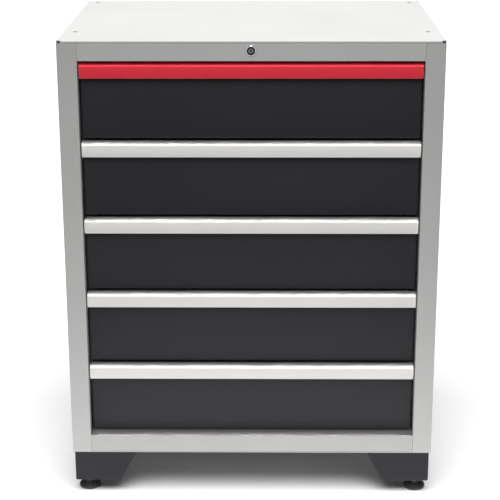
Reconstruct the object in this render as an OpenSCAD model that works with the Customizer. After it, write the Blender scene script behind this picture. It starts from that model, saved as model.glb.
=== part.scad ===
// Drawer tool cabinet of folded sheet steel on four levelling feet.
// Five drawers run on telescopic runners and one lock bars them all.
// Millimetres, Z up, floor at zero, front towards minus Y.

/* [Cabinet frame] */
// Outside width of the frame
cabinet_w = 711; // [660:1:780]
// Depth from the frame face to the back
cabinet_d = 521; // [505:1:580]
// Height of the frame above the legs
frame_h = 821; // [790:1:880]
// Width of each front stile
stile_w = 37; // [34:1:44]
// How far each stile folds back into the opening
stile_return = 20; // [18:1:22]
// Height of the bottom rail with the base sheet
bottom_rail_h = 37; // [33:1:45]
// Height of the top rail with the top sheet
top_rail_h = 38; // [34:1:42]
// Depth of the top rail flanges
top_rail_flange = 25; // [20:1:30]
// Depth of the bottom rail shelf behind the face
bottom_rail_shelf = 42; // [36:1:60]
// Depth of the bottom rail flange on the base sheet
bottom_rail_foot = 20; // [14:1:22]
// Thickness of the frame sheet
frame_sheet = 1.2; // [1:0.1:1.4]
// Outside radius of the frame bends
frame_bend = 2.5; // [2:0.1:3]
// Gap at the seams between rails and stiles
seam_gap = 0.3; // [0.2:0.1:0.6]
// Width of the rear flange on each side panel
rear_flange = 26; // [22:1:34]
// Thickness of the base sheet
base_sheet = 2; // [1.5:0.1:2.5]
// Inset of the base sheet from the frame sides
base_inset = 0.3; // [0.2:0.1:0.5]
// Thickness of the back panel
back_sheet = 1; // [0.8:0.1:1.2]
// Depth of the flanges on the back panel
back_flange = 5; // [4:0.5:6]

/* [Top panel] */
// Width of the hem folded under the top edges
hem_w = 14; // [10:1:18]
// Height of the open hem at the top edges
hem_h = 5.2; // [5:0.1:6]
// Bend radius at the edges of the top
edge_bend = 3.4; // [2.6:0.1:3.6]
// Length of the open notch at each top corner
corner_notch = 7.5; // [4:0.5:9]
// Spacing of the top fixing holes across the cabinet
top_hole_x = 664; // [640:1:668]
// Spacing of the top fixing holes from front to back
top_hole_y = 388; // [340:1:400]
// How far the hole pattern sits behind the middle of the top
top_hole_shift = 33.5; // [20:0.5:38]
// Diameter of the top fixing holes
top_hole_d = 9; // [5:0.5:10]

/* [Uprights] */
// Width of the face of each runner upright
upright_w = 30; // [24:1:36]
// Thickness of the upright sheet
upright_sheet = 1.5; // [1.2:0.1:2]
// Width of the flanges welded to the side panel
upright_flange = 14; // [10:1:18]
// Distance of the front uprights behind the frame face
upright_front = 112; // [108:1:130]
// Distance of the rear uprights from the back
upright_rear = 150; // [146:1:170]

/* [Legs and feet] */
// Height of the legs
leg_h = 62; // [55:1:75]
// Gap between the floor and the legs
foot_gap = 25; // [25:1:30]
// Inset of the legs from the frame sides and face
leg_inset = 3; // [2:0.5:5]
// Width of each leg plate at the frame
leg_top_w = 124; // [116:1:130]
// Width of each leg plate at its lower edge
leg_low_w = 90; // [80:1:105]
// Thickness of the leg sheet
leg_sheet = 2; // [1.6:0.1:2.5]
// Outside radius of the leg corner bend
leg_bend = 5; // [4:0.5:6]
// Thickness of the plate that holds the foot
foot_plate = 3; // [2.5:0.5:4]
// Distance of each foot from the leg's side plate
foot_in_x = 25.5; // [24:0.5:32]
// Distance of each foot from the leg's front or rear plate
foot_in_y = 27; // [24:0.5:32]
// Diameter of the foot pad
pad_d = 42; // [36:1:46]
// Height of the foot pad with its neck
pad_h = 14; // [13:0.5:14]
// Diameter of the threaded foot stem
stem_d = 10; // [8:0.5:12]
// Radial clearance of the stem in the pad and nuts
stem_fit = 0.07; // [0.03:0.01:0.1]
// Width across the flats of the foot nuts
foot_nut_w = 17; // [16:0.5:19]
// Height of the foot plate above the lower edge of the leg
plate_rise = 2; // [1:0.5:4]
// Reach of the foot plate along the leg plates
foot_plate_l = 76; // [60:1:78]
// Width of the foot plate at its ends
foot_plate_w = 18; // [14:1:24]
// Width of the bolted flange at its ends
leg_flange_w = 45; // [42:1:60]
// Height of the lock nut under the foot plate
lock_nut_h = 5; // [4:0.5:7]
// Height of the weld nut on the foot plate
weld_nut_h = 8; // [6:0.5:10]
// Height of the hexagon on the foot stem
stem_hex_h = 5; // [4:0.5:7]
// Distance of the foot stem's end below the leg flange
stem_spare = 5; // [4:1:10]
// Distance of the far leg bolts from the leg corner
bolt_far = 85; // [80:1:90]
// Distance of the side leg bolts from the side plate
bolt_near = 22; // [20:1:26]
// Distance of the front leg bolts from the front plate
bolt_in = 30; // [28:1:32]
// Diameter of the leg bolts
leg_bolt_d = 8; // [6:1:8]
// Radial clearance of the bolts in their holes
bolt_fit = 0.3; // [0.2:0.1:0.5]

/* [Drawers] */
// Gap between one drawer and the next
drawer_gap = 3; // [2.5:0.5:4]
// Gap between the lowest drawer and the bottom rail
floor_gap = 2; // [2:0.5:8]
// Extra gap between the top drawer and the top rail
head_gap = 1; // [1:0.5:4]
// Gap between the drawer fronts and the stiles
side_gap = 2.5; // [2:0.5:4]
// Recess of the drawer panels behind the frame face
panel_set = 22; // [20:0.5:24]
// Depth of the folded edge of a drawer panel
panel_edge = 16; // [14:0.5:18]
// Width of the returns of a drawer panel on the box
panel_return = 18; // [16:1:24]
// Thickness of the drawer panel sheet
panel_sheet = 1.2; // [1:0.1:1.5]
// Outside radius of the drawer panel edges
panel_bend = 2.4; // [2:0.1:3]
// Corner radius of the drawer panels
panel_corner = 5; // [4:0.5:6]
// Drop of the panel's upper edge below the top of the pull
panel_drop = 2.5; // [2:0.5:4]
// Thickness of the drawer box sheet
box_sheet = 1; // [0.8:0.1:1.2]
// Outside radius of the drawer box bends
box_bend = 2; // [1.8:0.1:2.4]
// Width of the rim folded in at the top of the box
box_rim = 8; // [6:1:12]
// Height of the box above the lower edge of the panel
box_lift = 8; // [6:1:12]
// Height of the drawer box
box_h = 110; // [106:1:114]
// Length of the drawer box
box_l = 440; // [430:1:440]

/* [Pulls] */
// Recess of the pull behind the frame face
pull_set = 4; // [3:0.5:6]
// Height of the pull
pull_h = 29; // [26:0.5:34]
// Height of the front lip of the pull
lip_h = 26.4; // [21:0.1:27]
// Depth of the bevel above the front lip
bevel_d = 7; // [5:0.5:10]
// Height of the bevel above the front lip
bevel_h = 2.2; // [1.6:0.2:5]
// Thickness of the pull
pull_wall = 2; // [1.8:0.1:2.2]
// Outside radius of the bends at the bevel
lip_bend = 7; // [5:0.5:7.5]
// Outside radius of the bend into the flange
pull_bend = 2.4; // [2.3:0.1:2.8]
// Length of the pull flange on the drawer panel
pull_flange = 20; // [18:1:24]

/* [Runners] */
// Space that a runner takes beside the drawer box
runner_t = 12.7; // [12.7:0.1:13.5]
// Height of the runners
runner_h = 45; // [42:0.5:48]
// Length of the runners
runner_l = 430; // [400:1:430]
// Thickness of the runner sheet
runner_sheet = 1.2; // [1:0.1:1.3]
// Gap between two runner members
runner_gap = 0.4; // [0.35:0.05:0.5]
// Reach of the cabinet member's flanges towards the drawer
runner_reach = 9.5; // [9:0.1:10]
// Height of the runner centre above the panel's lower edge
runner_z = 60; // [50:1:66]
// Set-back of the runners behind the front of the box
runner_set = 7; // [6:1:10]
// Diameter of the runner fixing holes
runner_hole = 5; // [4:0.5:6]

/* [Lock] */
// Diameter of the lock barrel
lock_d = 16; // [15:0.5:17]
// Diameter of the lock bezel
bezel_d = 19.5; // [19:0.5:21]
// How far the bezel stands out of the rail
bezel_out = 2.2; // [1.5:0.1:3]
// Length of the barrel behind the rail face
lock_l = 28; // [24:1:32]
// Diameter of the lock plug
plug_d = 9.5; // [9:0.5:12]
// How far the plug's face lies behind the front of the bezel
plug_sink = 0.9; // [0.6:0.1:1.2]
// Width of the key slot
key_w = 2; // [1.6:0.1:2.4]
// Height of the key slot
key_h = 5.6; // [5:0.1:6.4]
// Depth of the key slot
key_d = 7; // [6:0.5:9]
// Radial clearance of the barrel in the rail and the nut
barrel_fit = 0.2; // [0.1:0.05:0.3]
// Width across the flats of the lock nut
barrel_nut_w = 22; // [21:0.5:24]
// Height of the lock nut
barrel_nut_h = 5; // [4:0.5:6]
// Radial clearance of the turning lock pieces
lock_fit = 0.06; // [0.03:0.01:0.1]
// Diameter of the lock rod
rod_d = 6; // [5:0.5:7]
// Throw of the crank on the lock rod
crank_r = 8.5; // [8:0.1:8.8]
// Diameter of the crank pin
crank_pin_d = 4; // [3.5:0.5:4.5]
// Clearance of the crank pin in the bar's slot
slot_fit = 0.5; // [0.4:0.1:0.7]
// Width of the lock bar
bar_w = 30; // [28:1:34]
// Thickness of the lock bar
bar_t = 2; // [1.5:0.1:2.5]
// Clearance of the bar in its guides
guide_gap = 0.6; // [0.5:0.1:0.9]
// Distance of the lock bar from the back panel
bar_set = 10; // [9:0.5:12]
// Reach of the noses in front of the lock bar
nose_reach = 14; // [12:0.5:16]
// Width of the noses on the lock bar
nose_w = 16; // [12:1:20]
// Thickness of the noses on the lock bar
nose_t = 3; // [2:0.5:3.5]
// Gap between a nose and its catch when unlocked
nose_gap = 2; // [1.5:0.5:3]
// Width of the catch on a drawer box
catch_w = 30; // [24:1:40]
// Thickness of the catch on a drawer box
catch_t = 1.2; // [1:0.1:1.5]
// Drop of the catch below the rim of the drawer box
catch_low = 6; // [4:1:10]
// Width of the bracket that carries the lock rod
bracket_w = 32; // [24:1:40]
// Length of the bracket flange under the top
bracket_l = 22; // [18:1:26]
// Distance of the bracket in front of the lock bar
bracket_set = 40; // [34:1:60]
// Thickness of the bracket sheet
bracket_t = 1.5; // [1.2:0.1:2]
// Height of a guide of the lock bar
guide_h = 14; // [10:1:20]
// Width of the feet of a guide
guide_foot = 11; // [9:1:14]
// Thickness of the guide sheet
guide_t = 1; // [0.8:0.1:1.2]
// Depth of the hooked lip on a drawer catch
catch_drop = 14; // [13:0.5:15]
// Play of a locked drawer
lock_play = 2; // [1.5:0.5:3]

/* [Rivets] */
// Diameter of the rivet heads on the back
rivet_head = 8; // [6:0.5:9]
// Distance of the end rivets from the ends of the panel
rivet_end = 40; // [30:1:80]
// Diameter of the rivet shanks
rivet_d = 4; // [3:0.5:4]
// Radial clearance of the rivets in their holes
rivet_fit = 0.2; // [0.1:0.05:0.3]

/* [Hidden] */
steps = 4;
drawers = 5;
half_w = cabinet_w / 2;
face_y = -cabinet_d / 2;
back_y = cabinet_d / 2;
base_z = foot_gap + leg_h;
top_z = base_z + frame_h;
frame_lo = base_z + base_sheet;
frame_hi = top_z - hem_h;
seam_bend = 1.2 * frame_sheet;
top_bend = min(edge_bend, hem_h - 1.5 * frame_sheet);
open_x = half_w - stile_w;
open_lo = base_z + bottom_rail_h;
open_hi = top_z - top_rail_h;
wall_x = half_w - frame_sheet;
pitch = (open_hi - open_lo - floor_gap - head_gap) / drawers;
front_h = pitch - drawer_gap;
front_x = open_x - side_gap;
panel_y = face_y + panel_set;
box_y = panel_y + panel_edge;
box_x = open_x - runner_t;
box_back = box_y + box_l;
run_y = box_y + runner_set;
run_end = run_y + runner_l;
back_in = back_y - frame_sheet - back_sheet;
lock_z = (open_hi + top_z) / 2;
bar_y = back_in - bar_set;
bar_front = bar_y - bar_t;
nose_y = bar_front - nose_reach;
catch_y = nose_y + nose_t + lock_play;
crank_x = crank_r * cos(45);
lift = 2 * crank_x;
nose_tip = lift + nose_gap;
catch_z = box_lift + box_h - catch_low;
foot_x = half_w - leg_inset - foot_in_x;
foot_y = face_y + leg_inset + foot_in_y;
plate_z = foot_gap + plate_rise;
stem_top = base_z - leg_sheet - stem_spare;
rivet_x = half_w - rear_flange / 2;
rivet_rows = 6;

grey = [0.72, 0.72, 0.71];
dark = [0.16, 0.16, 0.17];
black = [0.08, 0.08, 0.08];
steel = [0.65, 0.66, 0.68];
silver = [0.82, 0.83, 0.84];
red = [0.75, 0.08, 0.13];

// Lower edge of drawer k, counted from the top
function drawer_z(k) = open_hi - head_gap - k * pitch;

// Folded sheet: near side is the path, thickness lies to the right of it
function unit(v) = v / norm(v);
function cross_z(a, b) = a[0] * b[1] - a[1] * b[0];
function left_of(d) = [-d[1], d[0]];
function spin(v, a) = [v[0] * cos(a) - v[1] * sin(a), v[0] * sin(a) + v[1] * cos(a)];
function reversed(p) = [for (i = [len(p) - 1 : -1 : 0]) p[i]];
function corner_arc(p, a, b, t, r, far) =
    let (
        s = sign(cross_z(a, b)),
        near_r = s < 0 ? r : r - t,
        arc_r = far ? (s < 0 ? near_r - t : near_r + t) : near_r,
        turn = acos(a * b),
        c = p - near_r * tan(turn / 2) * a + s * near_r * left_of(a)
    )
    [for (i = [0 : steps]) c + arc_r * spin(-s * left_of(a), s * turn * i / steps)];
function sheet_side(path, t, r, far) =
    let (
        n = len(path) - 1,
        first = unit(path[1] - path[0]),
        last = unit(path[n] - path[n - 1]),
        off = far ? t : 0
    )
    concat(
        [path[0] - off * left_of(first)],
        [for (i = [1 : n - 1])
            each corner_arc(path[i], unit(path[i] - path[i - 1]), unit(path[i + 1] - path[i]), t,
                            is_list(r) ? r[i - 1] : r, far)],
        [path[n] - off * left_of(last)]
    );
module folded(path, t, r) {
    polygon(concat(sheet_side(path, t, r, false), reversed(sheet_side(path, t, r, true))));
}

// Rounded rectangle from corner a to corner b
module rounded(a, b, r) {
    polygon([for (q = [[b[0] - r, b[1] - r, 0], [a[0] + r, b[1] - r, 90],
                       [a[0] + r, a[1] + r, 180], [b[0] - r, a[1] + r, 270]])
        for (i = [0 : steps])
            [q[0] + r * cos(q[2] + 90 * i / steps), q[1] + r * sin(q[2] + 90 * i / steps)]]);
}

// Extrusions along the axes of the cabinet
module along_x(a, b) {
    translate([a, 0, 0]) rotate([90, 0, 90]) linear_extrude(b - a) children();
}
module along_y(a, b) {
    translate([0, b, 0]) rotate([90, 0, 0]) linear_extrude(b - a) children();
}
module along_z(a, b) {
    translate([0, 0, a]) linear_extrude(b - a) children();
}
module block(a, b) {
    translate(a) cube(b - a);
}
module rod_x(d, a, b, y, z) {
    translate([a, y, z]) rotate([0, 90, 0]) cylinder(d = d, h = b - a);
}
module rod_y(d, a, b, x, z) {
    translate([x, b, z]) rotate([90, 0, 0]) cylinder(d = d, h = b - a);
}
module rod_z(d, a, b, x, y) {
    translate([x, y, a]) cylinder(d = d, h = b - a);
}
module hex_z(w, a, b, x, y) {
    translate([x, y, a]) cylinder(r = w / sqrt(3), h = b - a, $fn = 6);
}

// Side panels with the stile and rear flange folded from one sheet
module side_sheet() {
    difference() {
        along_z(frame_lo, frame_hi)
            folded([[-open_x, face_y + stile_return], [-open_x, face_y], [-half_w, face_y],
                    [-half_w, back_y], [-half_w + rear_flange, back_y]], frame_sheet,
                   [seam_bend, frame_bend, frame_bend]);
        for (i = [0 : rivet_rows - 1])
            rod_y(rivet_d + 2 * rivet_fit, back_y - 4, back_y + 2, -rivet_x, rivet_z(i));
    }
}
function rivet_z(i) = frame_lo + rivet_end + i * (frame_hi - frame_lo - 2 * rivet_end) / (rivet_rows - 1);
module left_side_panel() {
    color(grey) side_sheet();
}
module right_side_panel() {
    color(grey) mirror([1, 0, 0]) side_sheet();
}

// Back panel inside the rear flanges, riveted through them
module back_panel() {
    y = back_y - frame_sheet;
    x = half_w - frame_bend - seam_gap;
    color(grey) difference() {
        along_x(-x, x)
            folded([[y - back_flange, frame_hi], [y, frame_hi], [y, frame_lo],
                    [y - back_flange, frame_lo]], back_sheet, back_sheet + 0.8);
        for (i = [0 : rivet_rows - 1])
            for (s = [-1, 1])
                rod_y(rivet_d + 2 * rivet_fit, y - 4, y + 2, s * rivet_x, rivet_z(i));
    }
}
module back_rivets() {
    color(steel) for (i = [0 : rivet_rows - 1])
        for (s = [-1, 1])
            translate([s * rivet_x, back_y, rivet_z(i)]) rotate([-90, 0, 0])
                rotate_extrude()
                    polygon([[0, 1.2], [rivet_head * 0.2, 1.1], [rivet_head * 0.36, 0.8],
                             [rivet_head / 2, 0.2], [rivet_head / 2, 0], [rivet_d / 2, 0],
                             [rivet_d / 2, -frame_sheet - back_sheet],
                             [rivet_d * 0.7, -frame_sheet - back_sheet],
                             [rivet_d * 0.7, -frame_sheet - back_sheet - 1.5],
                             [0, -frame_sheet - back_sheet - 1.5]]);
}

// Top panel with open hemmed edges, flat corners over open notches, and four fixing holes
module hem_front() {
    folded([[hem_w, -hem_h], [0, -hem_h], [0, 0], [hem_w, 0]], frame_sheet,
           [seam_bend, top_bend]);
}
module top_panel() {
    t = frame_sheet;
    e = top_bend;
    n = corner_notch + t;
    color(grey) difference() {
        union() {
            for (x = [0, 1])
                for (y = [0, 1])
                    mirror([x, 0, 0]) mirror([0, y, 0])
                        block([-half_w, face_y, top_z - t], [-half_w + n, face_y + n, top_z]);
            block([-half_w + e, face_y + e, top_z - t], [half_w - e, back_y - e, top_z]);
            for (s = [0, 1])
                mirror([0, s, 0]) translate([0, face_y, top_z])
                    along_x(-half_w + corner_notch, half_w - corner_notch) hem_front();
            for (s = [0, 1])
                mirror([s, 0, 0]) translate([-half_w, 0, top_z])
                    along_y(face_y + corner_notch, back_y - corner_notch) hem_front();
        }
        for (x = [-1, 1])
            for (y = [-1, 1])
                rod_z(top_hole_d, top_z - hem_h - t, top_z + t, x * top_hole_x / 2,
                      top_hole_shift + y * top_hole_y / 2);
    }
}

// Base sheet that the frame stands on, drilled for the leg bolts
module bolt_places() {
    for (x = [-1, 1])
        for (y = [-1, 1]) {
            translate([x * (half_w - leg_inset - bolt_far), y * (face_y + leg_inset + bolt_in), 0])
                children();
            translate([x * (half_w - leg_inset - bolt_near), y * (face_y + leg_inset + bolt_far), 0])
                children();
        }
}
module bottom_panel() {
    x = half_w - base_inset;
    y = back_y - base_inset;
    color(grey) difference() {
        block([-x, -y, base_z], [x, y, frame_lo]);
        bolt_places() rod_z(leg_bolt_d + 2 * bolt_fit, base_z - 1, frame_lo + 1, 0, 0);
    }
}

// Rails between the stiles
module top_rail() {
    x = open_x - seam_gap;
    color(grey) difference() {
        along_x(-x, x)
            folded([[face_y + top_rail_flange, open_hi], [face_y, open_hi], [face_y, frame_hi],
                    [face_y + top_rail_flange, frame_hi]], frame_sheet, seam_bend);
        rod_y(lock_d + 2 * barrel_fit, face_y - 1, face_y + 4, 0, lock_z);
    }
}
module bottom_rail() {
    x = open_x - seam_gap;
    color(grey) along_x(-x, x)
        folded([[face_y + bottom_rail_foot, frame_lo], [face_y, frame_lo], [face_y, open_lo],
                [face_y + bottom_rail_shelf, open_lo],
                [face_y + bottom_rail_shelf, open_lo - bottom_rail_h / 3]], frame_sheet,
               [frame_bend, seam_bend, frame_bend]);
}

// Hat-section uprights that carry the runners
module upright(y) {
    x = -open_x - upright_sheet;
    f = upright_flange;
    w = upright_w;
    difference() {
        along_z(frame_lo, frame_hi)
            folded([[-wall_x, y - f], [-wall_x, y], [x, y], [x, y + w], [-wall_x, y + w],
                    [-wall_x, y + w + f]], upright_sheet, upright_sheet + 0.8);
        for (k = [1 : drawers])
            rod_x(runner_hole, x - 2, x + 4, y + w / 2, drawer_z(k) + runner_z);
    }
}
module left_front_upright() {
    color(steel) upright(face_y + upright_front);
}
module left_rear_upright() {
    color(steel) upright(back_y - upright_rear);
}
module right_front_upright() {
    color(steel) mirror([1, 0, 0]) upright(face_y + upright_front);
}
module right_rear_upright() {
    color(steel) mirror([1, 0, 0]) upright(back_y - upright_rear);
}

// Corner legs bent from plate with slanted inner edges
module leg() {
    x = -half_w + leg_inset;
    y = face_y + leg_inset;
    w = leg_top_w;
    slope = (leg_top_w - leg_low_w) / leg_h;
    b = 0.9 * leg_bend;
    c = leg_sheet / 2;
    e = leg_sheet;
    f = leg_flange_w;
    p = foot_plate_l;
    q = foot_plate_w;
    slant = [[leg_low_w - slope, foot_gap - 1], [w + slope, base_z + 1], [w + 5, base_z + 1],
             [w + 5, foot_gap - 1]];
    difference() {
        union() {
            along_z(foot_gap, base_z)
                folded([[x + w, y], [x, y], [x, y + w]], leg_sheet, leg_bend);
            along_z(base_z - leg_sheet, base_z) translate([x, y])
                polygon([[c, b], [b, c], [w - e, c], [w - e, f], [f, w - e], [c, w - e]]);
            along_z(plate_z, plate_z + foot_plate) translate([x, y])
                polygon([[c, b], [b, c], [p, c], [p, q], [q, p], [c, p]]);
        }
        translate([x, 0, 0]) along_y(y - 1, y + leg_sheet + 0.5) polygon(slant);
        translate([0, y, 0]) along_x(x - 1, x + leg_sheet + 0.5) polygon(slant);
        rod_z(stem_d + 1, plate_z - 1, plate_z + foot_plate + 1, -foot_x, foot_y);
        translate([x + bolt_far, y + bolt_in, 0])
            rod_z(leg_bolt_d + 2 * bolt_fit, base_z - leg_sheet - 1, base_z + 1, 0, 0);
        translate([x + bolt_near, y + bolt_far, 0])
            rod_z(leg_bolt_d + 2 * bolt_fit, base_z - leg_sheet - 1, base_z + 1, 0, 0);
    }
}
module front_left_leg() {
    color(dark) leg();
}
module front_right_leg() {
    color(dark) mirror([1, 0, 0]) leg();
}
module rear_left_leg() {
    color(dark) mirror([0, 1, 0]) leg();
}
module rear_right_leg() {
    color(dark) mirror([0, 1, 0]) mirror([1, 0, 0]) leg();
}
module leg_bolts() {
    head = leg_bolt_d * 1.6;
    color(steel) bolt_places() {
        hex_z(head, base_z - leg_sheet - 0.63 * leg_bolt_d, base_z - leg_sheet, 0, 0);
        rod_z(leg_bolt_d, base_z - leg_sheet - 1, frame_lo + 1.1 * leg_bolt_d, 0, 0);
        hex_z(head, frame_lo, frame_lo + 0.75 * leg_bolt_d, 0, 0);
    }
}

// Levelling feet: nuts on the leg plate, threaded stem, and pad
module at_feet() {
    for (x = [-1, 1])
        for (y = [-1, 1])
            translate([x * foot_x, y * foot_y, 0]) children();
}
module foot_nuts() {
    color(steel) at_feet() difference() {
        union() {
            hex_z(foot_nut_w, plate_z - lock_nut_h, plate_z, 0, 0);
            hex_z(foot_nut_w, plate_z + foot_plate, plate_z + foot_plate + weld_nut_h, 0, 0);
        }
        rod_z(stem_d + 2 * stem_fit, plate_z - lock_nut_h - 1, plate_z + foot_plate + weld_nut_h + 1, 0, 0);
    }
}
module pad(x, y) {
    r = pad_d / 2;
    s = stem_d / 2 + stem_fit;
    translate([x, y, 0]) rotate_extrude()
        polygon([[0, 0], [r - 2, 0], [r, 1.5], [r, 5.5], [r - 1.2, 6.6], [r - 3.4, 7.2],
                 [r - 4, 8.6], [r - 8, 9.4], [s + 4.5, pad_h - 2], [s + 3.8, pad_h],
                 [s, pad_h], [s, 2.6], [0, 2.6]]);
}
module stem(x, y) {
    s = stem_d / 2;
    translate([x, y, 0]) {
        rotate_extrude()
            polygon([[0, 3], [s - 0.8, 3], [s, 3.8], [s, stem_top - 1], [s - 1, stem_top],
                     [0, stem_top]]);
        hex_z(1.4 * stem_d, pad_h + 0.3, pad_h + 0.3 + stem_hex_h, 0, 0);
    }
}
module front_left_pad() {
    color(black) pad(-foot_x, foot_y);
}
module front_right_pad() {
    color(black) pad(foot_x, foot_y);
}
module rear_left_pad() {
    color(black) pad(-foot_x, -foot_y);
}
module rear_right_pad() {
    color(black) pad(foot_x, -foot_y);
}
module front_left_stem() {
    color(steel) stem(-foot_x, foot_y);
}
module front_right_stem() {
    color(steel) stem(foot_x, foot_y);
}
module rear_left_stem() {
    color(steel) stem(-foot_x, -foot_y);
}
module rear_right_stem() {
    color(steel) stem(foot_x, -foot_y);
}

// Cabinet members of the runners, five to a side
module runner_cabinet(k) {
    x = -open_x;
    z = drawer_z(k) + runner_z;
    h = runner_h / 2;
    reach = runner_reach;
    bend = 1.7 * runner_sheet;
    difference() {
        along_y(run_y, run_end)
            folded([[x + reach, z - h], [x, z - h], [x, z + h], [x + reach, z + h]], runner_sheet, bend);
        for (y = [face_y + upright_front, back_y - upright_rear])
            rod_x(runner_hole, x - 2, x + 4, y + upright_w / 2, z);
    }
}
module left_cabinet_runners() {
    color(steel) for (k = [1 : drawers])
        runner_cabinet(k);
}
module right_cabinet_runners() {
    color(steel) mirror([1, 0, 0]) for (k = [1 : drawers])
        runner_cabinet(k);
}

// Middle members nest in the cabinet members, inner members in the middle ones
module runner_middle(k) {
    x = -open_x + runner_sheet + runner_gap;
    z = drawer_z(k) + runner_z;
    h = runner_h / 2 - runner_sheet - runner_gap;
    reach = runner_reach - 0.9 * runner_sheet;
    bend = 1.7 * runner_sheet;
    difference() {
        along_y(run_y + 2, run_end - 2)
            folded([[x + reach, z - h], [x, z - h], [x, z + h], [x + reach, z + h]], runner_sheet, bend);
        for (i = [1 : 4])
            rod_x(8, x - 2, x + 4, run_y + i * runner_l / 5, z);
    }
}
module runner_inner(k) {
    x = -box_x;
    z = drawer_z(k) + runner_z;
    h = runner_h / 2 - 2 * (runner_sheet + runner_gap);
    reach = runner_t - 2 * runner_sheet - 3 * runner_gap;
    bend = 1.7 * runner_sheet;
    difference() {
        along_y(run_y, run_end)
            folded([[x - reach, z + h], [x, z + h], [x, z - h], [x - reach, z - h]], runner_sheet, bend);
        for (i = [1 : 3])
            rod_x(runner_hole, x - 4, x + 2, run_y + i * runner_l / 4, z);
    }
}
module pair() {
    children();
    mirror([1, 0, 0]) children();
}
module middle_runners(k) {
    color(steel) pair() runner_middle(k);
}
module inner_runners(k) {
    color(steel) pair() runner_inner(k);
}

// Lock barrel, nut, plug, cranked rod, bracket, bar and guides
module lock_barrel() {
    p = plug_d / 2 + lock_fit;
    b = bezel_d / 2;
    r = lock_d / 2;
    color(silver) translate([0, face_y, lock_z]) rotate([-90, 0, 0]) rotate_extrude()
        polygon([[p, -0.3], [b - 2, -0.3], [b - 1.6, -bezel_out], [b - 0.6, -bezel_out],
                 [b, -bezel_out + 0.8], [b, 0], [r, 0], [r, lock_l], [p, lock_l]]);
}
module lock_nut() {
    color(steel) translate([0, face_y + frame_sheet, lock_z]) rotate([-90, 0, 0]) difference() {
        hex_z(barrel_nut_w, 0, barrel_nut_h, 0, 0);
        rod_z(lock_d + 2 * barrel_fit, -1, barrel_nut_h + 1, 0, 0);
    }
}
module lock_plug() {
    y = plug_sink - bezel_out;
    color(silver) translate([0, face_y, lock_z]) difference() {
        rod_y(plug_d, y, lock_l + 2, 0, 0);
        block([-key_w / 2, y - 1, -key_h / 2], [key_w / 2, y + key_d, key_h / 2]);
    }
}
module lock_rod() {
    y = bar_front - 6;
    color(steel) translate([0, 0, lock_z]) {
        rod_y(rod_d, face_y + lock_l + 2, y + 2, 0, 0);
        rod_y(rod_d + 4, y, y + 4, 0, 0);
        rotate([0, -45, 0]) block([-crank_r, y + 0.3, -2.6], [0, y + 3.7, 2.6]);
        rod_y(crank_pin_d + 3, y, y + 4, -crank_x, -crank_x);
        rod_y(crank_pin_d, y + 2, bar_y + 3, -crank_x, -crank_x);
    }
}
module lock_rod_bracket() {
    y = bar_front - bracket_set;
    z = top_z - frame_sheet;
    color(steel) difference() {
        along_x(-bracket_w / 2, bracket_w / 2)
            folded([[y, lock_z - 1.7 * rod_d], [y, z], [y + bracket_l, z]], bracket_t, 1.5 * bracket_t);
        rod_y(rod_d + 2 * lock_fit, y - bracket_t, y + 2 * bracket_t, 0, lock_z);
    }
}
function nose_top(k) = drawer_z(k) + catch_z - catch_drop - nose_gap;
module lock_bar() {
    c = crank_pin_d / 2 + slot_fit;
    color(steel) difference() {
        union() {
            block([-bar_w / 2, bar_front, nose_top(drawers) - nose_tip - 5 * nose_t],
                  [bar_w / 2, bar_y, lock_z - crank_x + c + 1.5 * bar_t]);
            for (k = [1 : drawers])
                translate([0, 0, nose_top(k)]) {
                    block([-nose_w / 2, nose_y, -nose_tip - nose_t],
                          [nose_w / 2, bar_front + bar_t / 4, -nose_tip]);
                    block([-nose_w / 2, nose_y, -nose_tip - nose_t], [nose_w / 2, nose_y + nose_t, 0]);
                }
        }
        block([-crank_r - c, bar_front - 1, lock_z - crank_x - c],
              [-crank_x + c, bar_y + 1, lock_z - crank_x + c]);
    }
}
module lock_bar_guides() {
    x = bar_w / 2 + guide_gap;
    y = bar_front - guide_gap;
    color(steel) for (k = [1, 3, 4])
        along_z(drawer_z(k) - 1.7 * guide_h, drawer_z(k) - 0.7 * guide_h)
            folded([[-x - guide_foot, back_in], [-x, back_in], [-x, y], [x, y], [x, back_in],
                    [x + guide_foot, back_in]], guide_t, 1.8 * guide_t);
}

// Drawer box: folded sides and bottom, end walls, and the lock catch
module drawer_box(k) {
    z = drawer_z(k) + box_lift;
    t = box_sheet;
    e = t * 0.8;
    h = box_h;
    c = drawer_z(k) + catch_z;
    color(dark) {
        along_y(box_y, box_back)
            folded([[box_x - box_rim, z + h], [box_x, z + h], [box_x, z], [-box_x, z],
                    [-box_x, z + h], [-box_x + box_rim, z + h]], t, box_bend);
        block([-box_x + e, box_y, z + e], [box_x - e, box_y + t, z + h - 0.1]);
        block([-box_x + e, box_back - t, z + e], [box_x - e, box_back, z + h - 0.1]);
        block([-box_x + 3, box_y, z + h - t], [box_x - 3, box_y + box_rim, z + h - 0.1]);
        block([-box_x + 3, box_back - box_rim, z + h - t], [box_x - 3, box_back, z + h - 0.1]);
        block([-catch_w / 2, box_back - t / 2, c - catch_t], [catch_w / 2, catch_y + catch_t, c]);
        block([-catch_w / 2, catch_y, c - catch_drop], [catch_w / 2, catch_y + catch_t, c - catch_t / 9]);
    }
}

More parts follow.
